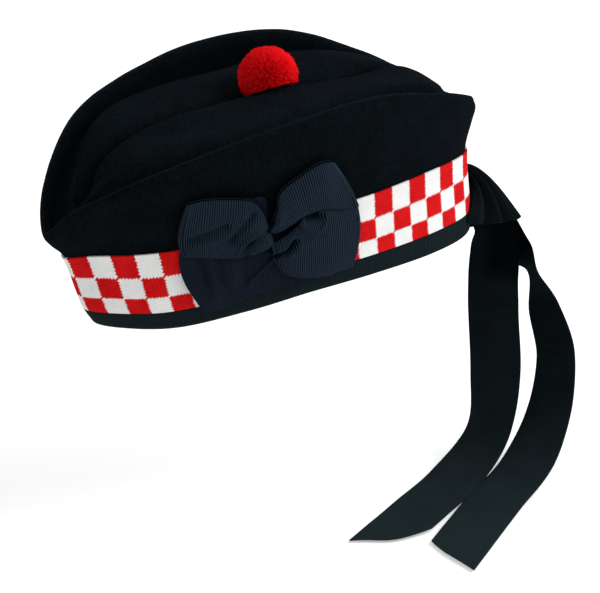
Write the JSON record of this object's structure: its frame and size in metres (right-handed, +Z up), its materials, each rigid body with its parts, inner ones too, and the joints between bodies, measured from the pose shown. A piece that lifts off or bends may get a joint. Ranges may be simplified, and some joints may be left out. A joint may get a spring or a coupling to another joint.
{
  "type": "glengarry cap",
  "caption": "Boat-shaped wool cap, creased along the top, with a diced band, bound rim, side bow cockade, pompom and ribbon tails at the back.",
  "frame": {"origin": "middle of the head opening, level with the rim's front and back", "axes": "+Z up along the head opening's axis, -Y to the wearer's front, +X to the wearer's left, the cockade side"},
  "size_m": [0.2225, 0.3279, 0.298],
  "materials": {
    "wool": "matte felted wool",
    "diced_tape": "woven wool tape",
    "navy_ribbon": "ribbed ribbon",
    "black_ribbon": "smooth woven ribbon",
    "toorie_wool": "cut wool pile"
  },
  "bodies": {
    "root": {"crown": "wool", "dicing_band": "diced_tape", "binding": "navy_ribbon", "toorie": "toorie_wool", "cockade_base": "navy_ribbon", "cockade_left_loop": "navy_ribbon", "cockade_right_loop": "navy_ribbon", "cockade_lower_loop": "navy_ribbon", "cockade_knot": "navy_ribbon", "tail_knot": "black_ribbon", "tail_left": "black_ribbon", "tail_right": "black_ribbon"}
  },
  "joints": []
}
